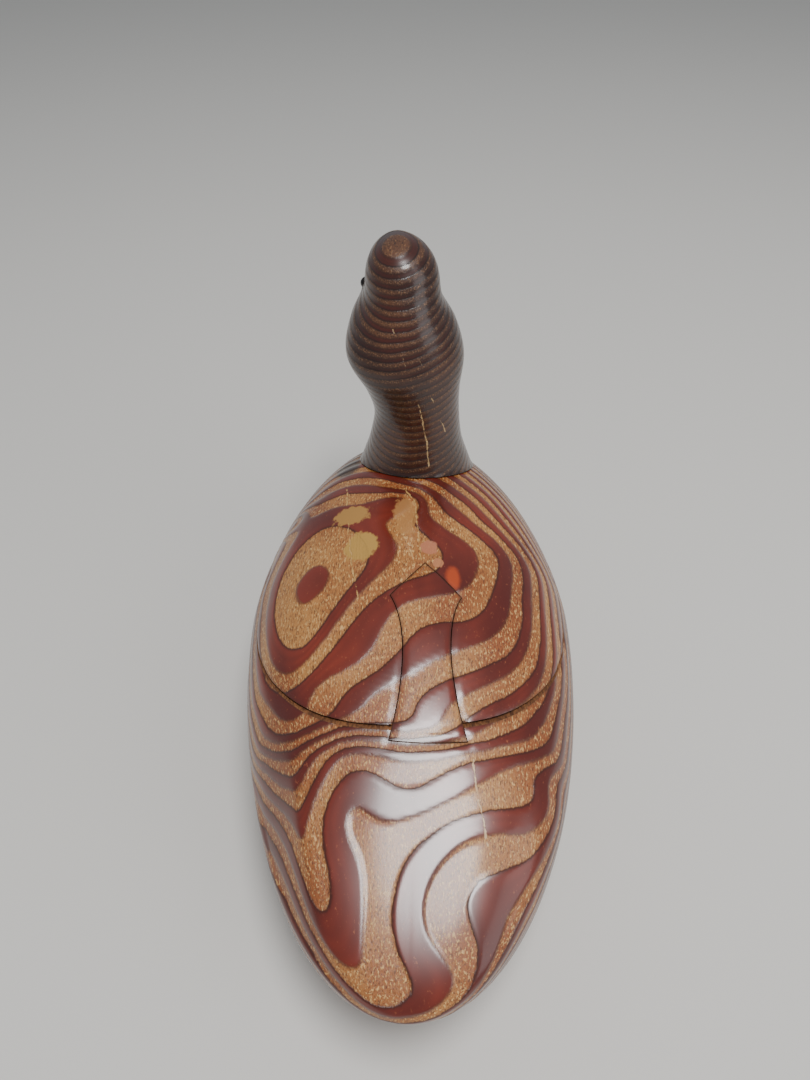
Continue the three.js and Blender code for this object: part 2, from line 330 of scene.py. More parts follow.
def raised_grain_tree():
    """Brushes the soft rings back below the hard ones and eases the sawn edges."""
    takes = {
        "Geometry": (SHAPE, None),
        "Depth": (NUMBER, 0.00025),
        "Step": (NUMBER, 0.7),
        "Easing": (NUMBER, 0.0003),
        "Easing Reach": (NUMBER, 0.9),
        "Carved": ("NodeSocketMaterial", None),
        "Sawn": ("NodeSocketMaterial", None),
    }
    tree, given, result = named_tree("raised grain", "GeometryNodeTree", takes, {"Geometry": (SHAPE, None)})

    def attribute(name, data_type="FLOAT"):
        made = node(tree, "GeometryNodeInputNamedAttribute", {"Name": name}, data_type=data_type)
        return made.outputs["Attribute"]

    pace = attribute("pace")
    within = calc(tree, "FRACT", attribute("ring"))
    from_soft = calc(tree, "SUBTRACT", calc(tree, "ABSOLUTE", calc(tree, "SUBTRACT", within, 0.5)), 0.25)
    soft_step = calc(tree, "MULTIPLY", pace, given["Step"])
    soft = ramp(tree, from_soft, calc(tree, "MULTIPLY", soft_step, -1.0), soft_step)
    crowded = ramp(tree, pace, 0.15, 0.45, 1.0, 0.25)
    brushed = calc(tree, "MULTIPLY", calc(tree, "MULTIPLY", soft, crowded), given["Depth"])
    near = calc(tree, "DIVIDE", attribute("edge"), given["Easing Reach"])
    rounding = calc(tree, "EXPONENT", calc(tree, "MULTIPLY", calc(tree, "MULTIPLY", near, near), -1.0))
    depth = calc(tree, "ADD", brushed, calc(tree, "MULTIPLY", rounding, given["Easing"]))
    inward = calc(tree, "MULTIPLY", depth, -1.0)
    facing = attribute("out", "FLOAT_VECTOR")
    move = node(tree, "ShaderNodeVectorMath", {0: facing, "Scale": inward}, operation="SCALE")
    moved = node(tree, "GeometryNodeSetPosition", {"Geometry": given["Geometry"], "Offset": move.outputs[0]})
    real = node(tree, "GeometryNodeRealizeInstances", {"Geometry": moved.outputs[0]})
    carved = node(tree, "GeometryNodeSetMaterial", {"Geometry": real.outputs[0], "Material": given["Carved"]})
    sawn_inputs = {
        "Geometry": carved.outputs[0],
        "Selection": attribute("sawn", "BOOLEAN"),
        "Material": given["Sawn"],
    }
    sawn = node(tree, "GeometryNodeSetMaterial", sawn_inputs)
    tree.links.new(sawn.outputs[0], result["Geometry"])
    return tree


RAISED_GRAIN = raised_grain_tree()


def finished(name, mesh, sizes):
    """The piece with its raised grain, as a plain mesh on an object at the origin."""
    thing = solid(name, mesh)
    grain = thing.modifiers.new("raised grain", "NODES")
    grain.node_group = RAISED_GRAIN
    sockets = {s.name: s.identifier for s in RAISED_GRAIN.interface.items_tree if s.in_out == "INPUT"}
    for label, value in sizes.items():
        grain[sockets[label]] = value
    thing.data = evaluated(thing)
    return thing


def paint(code):
    """A colour from the usual six digits."""
    parts = [int(code[i : i + 2], 16) / 255 for i in (0, 2, 4)]
    return [p / 12.92 if p < 0.04045 else ((p + 0.055) / 1.055) ** 2.4 for p in parts] + [1.0]


def blend(tree, share, low, high, mode="MIX"):
    made = node(tree, "ShaderNodeMix", data_type="RGBA", blend_type=mode)
    for key, value in ((0, share), (6, low), (7, high)):
        if isinstance(value, bpy.types.NodeSocket):
            tree.links.new(value, made.inputs[key])
        else:
            made.inputs[key].default_value = value
    return made.outputs[2]


def noise(tree, place, scale, detail=2.0, rough=0.5):
    """Noise in the piece's own space, with a scale in spots per millimetre for each axis."""
    stretched = node(tree, "ShaderNodeVectorMath", [place, [s * 1000 for s in scale]], operation="MULTIPLY")
    inputs = {"Vector": stretched.outputs[0], "Scale": 1.0, "Detail": detail, "Roughness": rough}
    return node(tree, "ShaderNodeTexNoise", inputs).outputs["Fac"]


def ring_bands_group():
    """Masks of the hard rings, from the ring count and the pace at which rings are crossed. The outline mask
    is partly the hard band's own dark edge and partly painted shadow of the raised band, heavier on one side.
    """
    takes = {
        "Place": (VECTOR, None), "Ring": (NUMBER, 0.0), "Pace": (NUMBER, 0.1),
        "Wander": (NUMBER, 1.0), "Fray": (NUMBER, 0.8), "Hard Share": (NUMBER, 0.25),
    }
    gives = {label: (NUMBER, None) for label in ("Hard", "Outline And Shade", "Streaks")}
    tree, given, result = named_tree("ring bands", "ShaderNodeTree", takes, gives)
    place = given["Place"]
    slow = calc(tree, "SUBTRACT", noise(tree, place, (0.11, 0.045, 0.11)), 0.5)
    quick = calc(tree, "SUBTRACT", noise(tree, place, (1.5, 0.35, 1.5), 3.0), 0.5)
    wander = calc(tree, "MULTIPLY", slow, given["Wander"])
    drift = calc(tree, "ADD", wander, calc(tree, "MULTIPLY", quick, given["Fray"]))
    ring = calc(tree, "ADD", given["Ring"], calc(tree, "MULTIPLY", drift, given["Pace"]))
    within = calc(tree, "FRACT", ring)
    side = calc(tree, "SUBTRACT", within, 0.5)
    uneven = calc(tree, "MULTIPLY", calc(tree, "SUBTRACT", noise(tree, place, (0.05, 0.02, 0.05)), 0.5), 0.16)
    share = calc(tree, "ADD", given["Hard Share"], uneven)
    inside = calc(tree, "SUBTRACT", share, calc(tree, "ABSOLUTE", side))
    depth = calc(tree, "DIVIDE", inside, calc(tree, "MAXIMUM", given["Pace"], 0.012))
    soft_side = ramp(tree, side, -0.02, 0.02, 0.22, 0.75)
    hard = ramp(tree, depth, calc(tree, "MULTIPLY", soft_side, -1.0), soft_side)
    tree.links.new(hard, result["Hard"])
    # The outline: a line just inside each hard band's edge. It is partly the band's own dark edge and partly
    # painted shadow cast by the raised band, heavier on one side.
    off = calc(tree, "DIVIDE", calc(tree, "ADD", depth, -0.15), 0.42)
    line = calc(tree, "EXPONENT", calc(tree, "MULTIPLY", calc(tree, "MULTIPLY", off, off), -1.0))
    tree.links.new(calc(tree, "MULTIPLY", line, ramp(tree, side, -0.1, 0.1, 1.0, 0.55)), result["Outline And Shade"])
    minor = calc(tree, "SINE", calc(tree, "MULTIPLY", ring, 31.4))
    tree.links.new(calc(tree, "MULTIPLY_ADD", minor, 0.5, 0.5), result["Streaks"])
    return tree


def fibres_group():
    """Long fibres along the block: raised flecks, which the wood material paints pale as glints, dark pores
    and the grooves between them.
    """
    takes = {"Place": (VECTOR, None), "Length": (NUMBER, 1.0)}
    gives = {label: (NUMBER, None) for label in ("Flecks", "Pores", "Grooves")}
    tree, given, result = named_tree("fibres", "ShaderNodeTree", takes, gives)
    stretch = node(tree, "ShaderNodeCombineXYZ", [1.0, calc(tree, "DIVIDE", 1.0, given["Length"]), 1.0])
    scaled = [given["Place"], stretch.outputs[0]]
    place = node(tree, "ShaderNodeVectorMath", scaled, operation="MULTIPLY").outputs[0]
    fleck_glint = noise(tree, place, (2.0, 0.62, 2.0), 2.0, 0.6)
    pore = noise(tree, place, (2.6, 0.5, 2.6), 2.0, 0.6)
    groove = noise(tree, place, (1.5, 0.22, 1.5), 3.0, 0.6)
    tree.links.new(ramp(tree, fleck_glint, 0.52, 0.68), result["Flecks"])
    tree.links.new(ramp(tree, pore, 0.50, 0.34), result["Pores"])
    tree.links.new(groove, result["Grooves"])
    return tree


def spot_group():
    """A ragged spot round a point on the surface, for worn places, stains and chips."""
    takes = {
        "Place": (VECTOR, None), "Middle": (VECTOR, None), "Reach": (VECTOR, (0.003, 0.003, 0.01)),
        "Ragged": (NUMBER, 0.5), "Soft": (NUMBER, 0.12),
    }
    tree, given, result = named_tree("spot", "ShaderNodeTree", takes, {"Spot": (NUMBER, None)})
    ends = [given["Place"], given["Middle"]]
    apart = node(tree, "ShaderNodeVectorMath", ends, operation="SUBTRACT").outputs[0]
    share = node(tree, "ShaderNodeVectorMath", [apart, given["Reach"]], operation="DIVIDE").outputs[0]
    far = node(tree, "ShaderNodeVectorMath", [share], operation="LENGTH").outputs["Value"]
    rough = calc(tree, "SUBTRACT", noise(tree, given["Place"], (0.45, 0.3, 0.45), 4.0, 0.6), 0.5)
    far = calc(tree, "ADD", far, calc(tree, "MULTIPLY", rough, calc(tree, "MULTIPLY", given["Ragged"], 2.0)))
    high = calc(tree, "ADD", 1.0, given["Soft"])
    low = calc(tree, "SUBTRACT", 1.0, given["Soft"])
    tree.links.new(ramp(tree, far, low, high, 1.0, 0.0), result["Spot"])
    return tree


def crack_group():
    """A thin crack between two points on the surface."""
    takes = {
        "Place": (VECTOR, None), "Start": (VECTOR, None), "End": (VECTOR, None), "Width": (NUMBER, 0.0003),
    }
    tree, given, result = named_tree("crack", "ShaderNodeTree", takes, {"Crack": (NUMBER, None)})

    def vector(operation, *values):
        return node(tree, "ShaderNodeVectorMath", values, operation=operation)

    wavering = {"Vector": given["Place"], "Scale": 260.0, "Detail": 2.0}
    waver = node(tree, "ShaderNodeTexNoise", wavering).outputs["Color"]
    centred = vector("SUBTRACT", waver, (0.5, 0.5, 0.5)).outputs[0]
    shift = vector("MULTIPLY", centred, (0.0016, 0.0, 0.0)).outputs[0]
    place = vector("ADD", given["Place"], shift).outputs[0]
    along = vector("SUBTRACT", given["End"], given["Start"]).outputs[0]
    apart = vector("SUBTRACT", place, given["Start"]).outputs[0]
    reached = vector("DOT_PRODUCT", apart, along).outputs["Value"]
    whole = vector("DOT_PRODUCT", along, along).outputs["Value"]
    walked = calc(tree, "DIVIDE", reached, whole, clamp=True)
    nearest = node(tree, "ShaderNodeVectorMath", {0: along, "Scale": walked}, operation="SCALE").outputs[0]
    far = vector("LENGTH", vector("SUBTRACT", apart, nearest).outputs[0]).outputs["Value"]
    broken = noise(tree, given["Place"], (0.5, 0.5, 0.5), 3.0, 0.6)
    width = calc(tree, "MULTIPLY", given["Width"], ramp(tree, broken, 0.35, 0.6, 0.35, 1.3))
    tree.links.new(ramp(tree, calc(tree, "DIVIDE", far, width), 0.5, 1.2, 1.0, 0.0), result["Crack"])
    return tree


RING_BANDS, FIBRES, SPOT, CRACK = ring_bands_group(), fibres_group(), spot_group(), crack_group()


def use(tree, group, **inputs):
    made = tree.nodes.new("ShaderNodeGroup")
    made.node_tree = group
    for label, value in inputs.items():
        socket = made.inputs[label.replace("_", " ")]
        if isinstance(value, bpy.types.NodeSocket):
            tree.links.new(value, socket)
        else:
            socket.default_value = value
    return made.outputs


def attribute(tree, name):
    return node(tree, "ShaderNodeAttribute", attribute_name=name).outputs["Fac"]


def figured_wood(name, looks, spots=(), cracks=()):
    """Brushed, stained and lacquered softwood, with painted shade along ring outlines and sawn edges and
    painted glints on flecks and specks. Spots and cracks are what years have done to it.
    """
    material = bpy.data.materials.new(name)
    material.use_nodes = True
    tree = material.node_tree
    tree.nodes.clear()
    place = node(tree, "ShaderNodeTexCoord").outputs["Object"]
    pace = attribute(tree, "pace")
    bands = use(
        tree, RING_BANDS,
        Place=place, Ring=attribute(tree, "ring"), Pace=pace, Wander=looks["wander"], Fray=looks["fray"],
    )
    fibres = use(tree, FIBRES, Place=place, Length=looks["fibre_length"])
    hard, outline = bands["Hard"], bands["Outline And Shade"]

    cloud = noise(tree, place, (0.035, 0.016, 0.035), 3.0)
    speckle = noise(tree, place, (1.1, 0.5, 1.1), 3.0, 0.7)
    red = blend(tree, ramp(tree, cloud, 0.35, 0.65), looks["hard_dark"], looks["hard_red"])
    red = blend(tree, calc(tree, "MULTIPLY", bands["Streaks"], 0.25), red, looks["hard_dark"])
    # Painted glints: pale specks on the hard rings.
    red = blend(tree, ramp(tree, speckle, 0.62, 0.74, 0.0, 0.55), red, looks["speck_glint"])
    tan = blend(tree, ramp(tree, cloud, 0.38, 0.62), looks["soft_brown"], looks["soft_tan"])
    tan = blend(tree, calc(tree, "MULTIPLY", fibres["Pores"], 0.75), tan, looks["pore"])
    # Painted glints: pale colour on the raised fibre flecks of the soft rings.
    tan = blend(tree, calc(tree, "MULTIPLY", fibres["Flecks"], 0.8), tan, looks["fleck_glint"])
    colour = blend(tree, hard, tan, red)
    # Ring outlines: partly the bands' own dark edges, partly painted shadow of the raised bands.
    colour = blend(tree, calc(tree, "MULTIPLY", outline, 0.75), colour, looks["outline"])
    height = calc(tree, "MULTIPLY", hard, looks["band_step"])
    soft = calc(tree, "SUBTRACT", 1.0, hard)
    grooves = calc(tree, "MULTIPLY", calc(tree, "MULTIPLY", fibres["Grooves"], soft), looks["groove_depth"])
    height = calc(tree, "ADD", height, grooves)
    fleck_rise = calc(tree, "MULTIPLY", fibres["Flecks"], calc(tree, "MULTIPLY", soft, looks["fleck_rise"]))
    height = calc(tree, "ADD", height, fleck_rise)
    rough = blend(tree, hard, (looks["soft_rough"],) * 3 + (1,), (looks["hard_rough"],) * 3 + (1,))
    for spot in spots:
        mask = use(
            tree, SPOT,
            Place=place, Middle=spot["at"], Reach=spot["reach"], Ragged=spot["ragged"], Soft=spot["soft"],
        )["Spot"]
        mask = calc(tree, "MULTIPLY", mask, spot["share"])
        colour = blend(tree, mask, colour, spot["colour"], spot.get("mode", "MIX"))
        if spot.get("bare"):
            rough = blend(tree, mask, rough, (0.62, 0.62, 0.62, 1))
            height = calc(tree, "SUBTRACT", height, calc(tree, "MULTIPLY", mask, spot["bare"]))
    for crack in cracks:
        ends = {"Start": crack["start"], "End": crack["end"], "Width": crack["width"]}
        mask = use(tree, CRACK, Place=place, **ends)["Crack"]
        colour = blend(tree, calc(tree, "MULTIPLY", mask, 0.8), colour, crack["colour"])
        height = calc(tree, "SUBTRACT", height, calc(tree, "MULTIPLY", mask, 0.12))
    # Painted shade: the carved skin darkens towards the outline colour near each sawn edge, where shade falls
    # into the seams between the pieces.
    sawn_edge_shade = ramp(tree, attribute(tree, "edge"), 0.0, looks["edge_reach"], looks["seam_shade"], 0.0)
    colour = blend(tree, sawn_edge_shade, colour, looks["outline"])
    bump = node(tree, "ShaderNodeBump", {"Strength": 1.0, "Distance": 0.001, "Height": height})
    shader = node(tree, "ShaderNodeBsdfPrincipled", {
        "Base Color": colour, "Roughness": rough, "Normal": bump.outputs[0],
        "Coat Weight": looks["coat"], "Coat Roughness": looks["coat_rough"], "IOR": 1.5,
    })
    tree.links.new(shader.outputs[0], node(tree, "ShaderNodeOutputMaterial").inputs[0])
    return material


def sawn_wood(name, pale, dark):
    """Bare wood inside: straight saw marks and quiet rings, brown with age."""
    material = bpy.data.materials.new(name)
    material.use_nodes = True
    tree = material.node_tree
    tree.nodes.clear()
    place = node(tree, "ShaderNodeTexCoord").outputs["Object"]
    parts = node(tree, "ShaderNodeSeparateXYZ", [place]).outputs
    across = calc(tree, "SUBTRACT", parts[0], PITH_X)
    up = calc(tree, "SUBTRACT", parts[2], PITH_Z)
    squares = calc(tree, "ADD", calc(tree, "MULTIPLY", across, across), calc(tree, "MULTIPLY", up, up))
    turns = calc(tree, "MULTIPLY", calc(tree, "SQRT", squares), 2 * math.pi / RING_WIDTH)
    ring = calc(tree, "MULTIPLY_ADD", calc(tree, "SINE", turns), 0.5, 0.5)
    fibre = noise(tree, place, (1.6, 0.18, 1.6), 4.0, 0.6)
    colour = blend(tree, ramp(tree, fibre, 0.3, 0.7), dark, pale)
    colour = blend(tree, calc(tree, "MULTIPLY", ring, 0.45), colour, dark)
    height = calc(tree, "MULTIPLY", fibre, 0.08)
    bump = node(tree, "ShaderNodeBump", {"Strength": 1.0, "Distance": 0.001, "Height": height})
    finish = {"Base Color": colour, "Roughness": 0.7, "Normal": bump.outputs[0]}
    shader = node(tree, "ShaderNodeBsdfPrincipled", finish)
    tree.links.new(shader.outputs[0], node(tree, "ShaderNodeOutputMaterial").inputs[0])
    return material


def spot(at, reach, colour, share=1.0, ragged=0.5, soft=0.12, bare=0.0, mode="MIX"):
    return {
        "at": at, "reach": reach, "colour": paint(colour), "share": share,
        "ragged": ragged, "soft": soft, "bare": bare, "mode": mode,
    }


def crack(points, width, colour):
    """A crack through several points on the surface, as one straight run after another."""
    runs = zip(points, points[1:])
    return [{"start": a, "end": b, "width": width, "colour": paint(colour)} for a, b in runs]


# The outline colour darkens the ring outlines, partly as painted shadow, and is also the painted shade along
# sawn edges. The pale speck and fleck colours are painted glints.
BLOCK_LOOKS = {
    "hard_red": paint("7a2c1c"), "hard_dark": paint("521a12"), "speck_glint": paint("a8603c"),
    "soft_tan": paint("b0783f"), "soft_brown": paint("8c4c22"),
    "pore": paint("4c2410"), "fleck_glint": paint("d8ab6c"), "outline": paint("35160c"),
    "hard_rough": 0.30, "soft_rough": 0.48, "band_step": 0.22, "groove_depth": 0.22, "fleck_rise": 0.05,
    "wander": 1.6, "fray": 0.9, "fibre_length": 1.0, "edge_reach": 0.9, "seam_shade": 0.35,
    "coat": 0.55, "coat_rough": 0.16,
}
SAWN = sawn_wood("bare sawn wood", paint("8a5a34"), paint("4a2a17"))
GRAIN_SIZES = {"Depth": 0.00025, "Step": 0.7, "Easing": 0.0003, "Easing Reach": 0.9, "Sawn": SAWN}

block = carved_mesh("block", block_skin, 340, 280)


def surface_of(mesh):
    return BVHTree.FromPolygons([v.co for v in mesh.vertices], [p.vertices for p in mesh.polygons])


block_tree = surface_of(block)

KEY_X, KEY_TIP_Y, KEY_SHOULDER_Y, KEY_END_Y, KEY_END_BULGE = -0.0048, 0.0, 0.0134, 0.0585, 0.0015
KEY_HALF_WIDTH, KEY_HALF_WAIST, KEY_FLOOR = 0.0112, 0.0072, 0.068


def curve_through(start, control, end, steps=12):
    """The points of a curve from start to end, bent towards control, without its start."""
    start, control, end = (np.array(p) for p in (start, control, end))
    shares = np.linspace(0, 1, steps + 1)[1:, None]
    return (start * (1 - shares) ** 2 + 2 * control * shares * (1 - shares) + end * shares**2).tolist()


def key_prism(spread, floor):
    """The key's outline, spread outwards by a clearance, as a prism from a floor up."""
    tip, end = KEY_TIP_Y - spread * 1.3, KEY_END_Y + spread
    half, waist = KEY_HALF_WIDTH + spread, KEY_HALF_WAIST + spread
    waist_y = lerp(KEY_SHOULDER_Y, KEY_END_Y, 0.42)
    neck_y, hip_y = lerp(KEY_SHOULDER_Y, waist_y, 0.4), lerp(waist_y, end, 0.45)
    side = [(half, KEY_SHOULDER_Y)]
    side += curve_through(side[-1], (waist, neck_y), (waist, waist_y))
    side += curve_through(side[-1], (waist, hip_y), (half, end))
    foot = curve_through((half, end), (0, end + KEY_END_BULGE), (-half, end))
    outline = [(0, tip), *side, *foot[:-1], *[(-x, y) for x, y in reversed(side)]]
    return prism("key_prism", outline, lambda x, y, z: (KEY_X + x, y, z), floor, floor + 0.06)


body_mesh = cut(
    "body", block,
    ("DIFFERENCE", above_cut(0, 0)),
    ("DIFFERENCE", carved_mesh("hollow", hollow_skin, 120, 60)),
    ("DIFFERENCE", key_prism(GAP, KEY_FLOOR - GAP)),
)
mark_surface(body_mesh, block_tree, block_rings)
body_wood = figured_wood(
    "figured wood, body", BLOCK_LOOKS,
    cracks=crack([
        (-0.0174, 0.0633, 0.0715), (-0.0182, 0.0719, 0.0686),
        (-0.0194, 0.0781, 0.0663), (-0.0213, 0.0882, 0.0625),
    ], 0.0003, "d8b58a"),
)
body = finished("duck_body", body_mesh, {**GRAIN_SIZES, "Carved": body_wood})
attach(body, "root")
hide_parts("body")

# The lid: the duck's back and shoulders, sawn from the same block. It sits on the body's rim, a
# saw cut's width forward of where it grew, and is the most handled piece, so its finish is worn.
LID_SHIFT = 0.0019
LID_SPOTS = [
    spot((0.0205, -0.0250, 0.084), (0.0065, 0.0045, 0.02), "a87c3c", 0.9, 0.6, bare=0.05),
    spot((0.0165, -0.0085, 0.085), (0.0055, 0.0065, 0.02), "b0873f", 0.95, 0.45, bare=0.05),
    spot((0.0015, -0.0230, 0.086), (0.0040, 0.0095, 0.02), "a8753f", 0.75, 0.7, bare=0.04),
    spot((-0.0062, -0.0070, 0.086), (0.0030, 0.0032, 0.02), "b06c4c", 0.9, 0.5, bare=0.04),
    spot((-0.0090, 0.0000, 0.086), (0.0018, 0.0022, 0.02), "b4744c", 0.9, 0.5, bare=0.04),
    spot((-0.0136, 0.0062, 0.085), (0.0022, 0.0045, 0.02), "b8481c", 0.75, 0.3, 0.4),
    spot((0.0240, -0.0620, 0.075), (0.0050, 0.0090, 0.012), "1c0f0b", 0.85, 0.35, 0.3),
]
LID_CRACKS = crack([
    (0.0233, -0.0468, 0.0804), (0.0227, -0.0358, 0.0825), (0.0208, -0.0133, 0.0842),
    (0.0187, 0.0035, 0.0845), (0.0165, 0.0140, 0.0841),
], 0.0003, "c49a5c")
LID_CRACKS += crack([
    (0.0017, -0.0367, 0.0858), (-0.0017, -0.0306, 0.0862),
    (-0.0026, -0.0149, 0.0864), (-0.0038, 0.0002, 0.0863),
], 0.0003, "c49a5c")

lid_mesh = cut(
    "lid", block,
    ("INTERSECT", above_cut(LID_SHIFT, GAP)),
    ("DIFFERENCE", key_prism(GAP, KEY_FLOOR - GAP)),
)
mark_surface(lid_mesh, block_tree, block_rings)
lid_wood = figured_wood("figured wood, lid", BLOCK_LOOKS, LID_SPOTS, LID_CRACKS)
lid = finished("duck_lid", lid_mesh, {**GRAIN_SIZES, "Carved": lid_wood})
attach(lid, "root")
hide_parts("lid")

# The locking key: a bow-tie of the same wood with a pointed front end, let into the lid and the
# tail across the seam, and cut flush with the back.
key_mesh = cut("key", block, ("INTERSECT", key_prism(0, KEY_FLOOR)))
mark_surface(key_mesh, block_tree, block_rings)
# The key's edges take heavier painted shade along the seams round it.
key_wood = figured_wood("figured wood, key", {**BLOCK_LOOKS, "seam_shade": 0.6})
key = finished("bow_tie_key", key_mesh, {**GRAIN_SIZES, "Carved": key_wood})
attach(key, "root")
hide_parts("locking_key")

# The head and neck: one carving in a darker wood, glued on the lid and turned a little to the left.
# Its rings lie nearly level, so they ring the neck and show as ovals on the crown.
NECK_X, NECK_Y, HEAD_TURN, HEAD_EGG = -0.0024, -0.064, math.radians(11), 0.14
CROWN_DOME, CROWN_FULLNESS = 0.014, 2.9
NECK_SLICES = {
    "height": (0.064, 0.080, 0.090, 0.102, 0.112, 0.123, 0.133, 0.142, 0.150, 0.161),
    "half": (0.026, 0.0203, 0.0172, 0.0156, 0.0172, 0.0207, 0.0184, 0.0134, 0.0123, 0.011),
    "back": (0.027, 0.021, 0.018, 0.0158, 0.015, 0.0136, 0.0104, 0.0065, 0.0025, 0.0005),
    "fore": (0.027, 0.0215, 0.0185, 0.018, 0.023, 0.032, 0.035, 0.034, 0.031, 0.030),
    "shift": (0, 0, 0, -0.0003, 0.001, 0.003, 0.003, 0.0029, 0.0029, 0.0029),
}
BILL_SLICES = {
    "forward": (0.014, 0.027, 0.036, 0.044, 0.053, 0.060),
    "half": (0.012, 0.0116, 0.0093, 0.0083, 0.0087, 0.0084),
    "top": (0.143, 0.139, 0.1325, 0.1272, 0.1236, 0.1216),
    "under": (0.110, 0.1135, 0.1165, 0.1173, 0.117, 0.1168),
}
EYE = {"radius": 0.0022, "forward": 0.022, "height": 0.142, "proud": 0.0015}


def measure_at(slices, place, value, name):
    """One measure of a set of slices, along a smooth curve through them."""
    at, measure = np.array(slices[place], float), np.array(slices[name], float)
    last = len(at) - 1
    before, after = np.maximum(np.arange(last + 1) - 1, 0), np.minimum(np.arange(last + 1) + 1, last)
    slope = (measure[after] - measure[before]) / (at[after] - at[before])
    i = np.clip(np.searchsorted(at, value, "left") - 1, 0, last - 1)
    step = at[i + 1] - at[i]
    t = np.clip((value - at[i]) / step, 0, 1)
    blended = measure[i] * (1 + 2 * t) + slope[i] * step * t
    return blended * (1 - t) ** 2 + (measure[i + 1] * (3 - 2 * t) + slope[i + 1] * step * (t - 1)) * t * t


def neck_slice(height):
    """A level slice of neck or head: its middle, half width, half length and egg shape."""
    names = ("half", "back", "fore", "shift")
    measure = {name: measure_at(NECK_SLICES, "height", height, name) for name in names}
    into_dome = np.maximum(height - NECK_SLICES["height"][-1] + CROWN_DOME, 0) / CROWN_DOME
    dome = np.sqrt(np.maximum(1 - into_dome**CROWN_FULLNESS, 0))
    reach = (measure["back"] + measure["fore"]) / 2 * dome
    middle_y = (measure["back"] - measure["fore"]) / 2
    egg = HEAD_EGG * smoothstep(height, 0.105, 0.125)
    return measure["shift"], middle_y, measure["half"] * dome, reach, egg


def posed(x, y, z):
    """The head is shaped straight ahead, then turned and set on the shoulders."""
    turned_x = x * math.cos(HEAD_TURN) - y * math.sin(HEAD_TURN) + NECK_X
    turned_y = x * math.sin(HEAD_TURN) + y * math.cos(HEAD_TURN) + NECK_Y
    return np.stack([turned_x, turned_y, z], -1)


def upright(shape):
    """carved_mesh runs from pole to pole along any axis; these shapes stand or lie along theirs."""
    return lambda turn, pole: shape(-turn, pole)


def neck_skin(turn, pole):
    height = lerp(NECK_SLICES["height"][0], NECK_SLICES["height"][-1], (pole + 1) / 2)
    x, y, half, reach, egg = neck_slice(height)
    closing = np.where(pole > -0.9999, 1, 0)
    rearward = -np.sin(turn) * closing
    across = np.cos(turn) * closing * (1 + egg * rearward)
    return posed(x + half * across, y + reach * rearward, height)


def bill_skin(turn, pole):
    forward = lerp(BILL_SLICES["forward"][-1], BILL_SLICES["forward"][0], (pole + 1) / 2)
    names = ("half", "top", "under")
    half, top, under = (measure_at(BILL_SLICES, "forward", forward, name) for name in names)
    rounding = np.sqrt(1 - np.abs(pole) ** 7)
    level = lerp(under, top, 0.4)
    rise = np.where(np.sin(turn) > 0, top - level, level - under)
    x = NECK_SLICES["shift"][-2] + half * rounding * signed_power(np.cos(turn), 0.85)
    return posed(x, -forward, level + rise * rounding * signed_power(np.sin(turn), 0.9))


def eye_middle(side):
    x, y, half, reach, egg = neck_slice(EYE["height"])
    rearward = (-EYE["forward"] - y) / reach
    cheek = half * (1 + egg * rearward) * math.sqrt(1 - rearward**2)
    return posed(x + side * (cheek + EYE["proud"] - EYE["radius"]), -EYE["forward"], EYE["height"])


def ball(name, middle, radius):
    mesh = bpy.data.meshes.new(name)
    shell = bmesh.new()
    bmesh.ops.create_uvsphere(shell, u_segments=32, v_segments=20, radius=radius)
    bmesh.ops.translate(shell, verts=shell.verts, vec=middle.tolist())
    shell.to_mesh(mesh)
    shell.free()
    mesh.polygons.foreach_set("use_smooth", np.ones(len(mesh.polygons), bool))
    return mesh


HEAD_RING_WIDTH, HEAD_RING_LEAN = 0.0027, (0.16, 0.22)


def head_rings(points):
    x, y, z = points.T
    level = z + HEAD_RING_LEAN[0] * (x - NECK_X) + HEAD_RING_LEAN[1] * (y - NECK_Y)
    return level / HEAD_RING_WIDTH


lifted = block.copy()
lifted.transform(Matrix.Translation((0, 0, GAP)))
neck = carved_mesh("neck", upright(neck_skin), 200, 170)
head_whole = cut("head", neck, ("UNION", carved_mesh("bill", bill_skin, 90, 70)))
head_mesh = cut(
    "head", head_whole,
    ("DIFFERENCE", lifted),
    *[("DIFFERENCE", ball("socket", eye_middle(side), EYE["radius"] + GAP)) for side in (1, -1)],
)
head_tree = surface_of(head_whole)
mark_surface(head_mesh, head_tree, head_rings)
# The head keeps the painted shade at ring outlines and painted glints on specks and flecks. It has heavier
# painted shade at its sawn foot, where the neck meets the lid.
HEAD_LOOKS = {
    **BLOCK_LOOKS,
    "hard_red": paint("4a1c12"), "hard_dark": paint("2a110b"), "speck_glint": paint("6c3a22"),
    "soft_tan": paint("5c3820"), "soft_brown": paint("3c2012"),
    "pore": paint("1c0e08"), "fleck_glint": paint("7c5634"), "outline": paint("170a06"),
    "band_step": 0.12, "groove_depth": 0.12, "wander": 1.0, "fray": 0.6, "seam_shade": 0.6,
}
PALE_CRACK = "c0a070"
HEAD_CRACKS = crack([
    (0.0059, -0.0561, 0.1387), (0.0020, -0.0513, 0.1283), (-0.0035, -0.0490, 0.1115),
    (-0.0059, -0.0482, 0.0991), (-0.0069, -0.0464, 0.0891),
], 0.0003, PALE_CRACK)
HEAD_CRACKS += crack([
    (-0.0031, -0.0524, 0.1294), (-0.0071, -0.0506, 0.1165), (-0.0125, -0.0517, 0.1007),
], 0.00025, PALE_CRACK)
head_wood = figured_wood("dark wood, head", HEAD_LOOKS, cracks=HEAD_CRACKS)
head = finished("duck_head", head_mesh, {**GRAIN_SIZES, "Depth": 0.00012, "Carved": head_wood})
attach(head, "root")
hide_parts("head_and_neck")

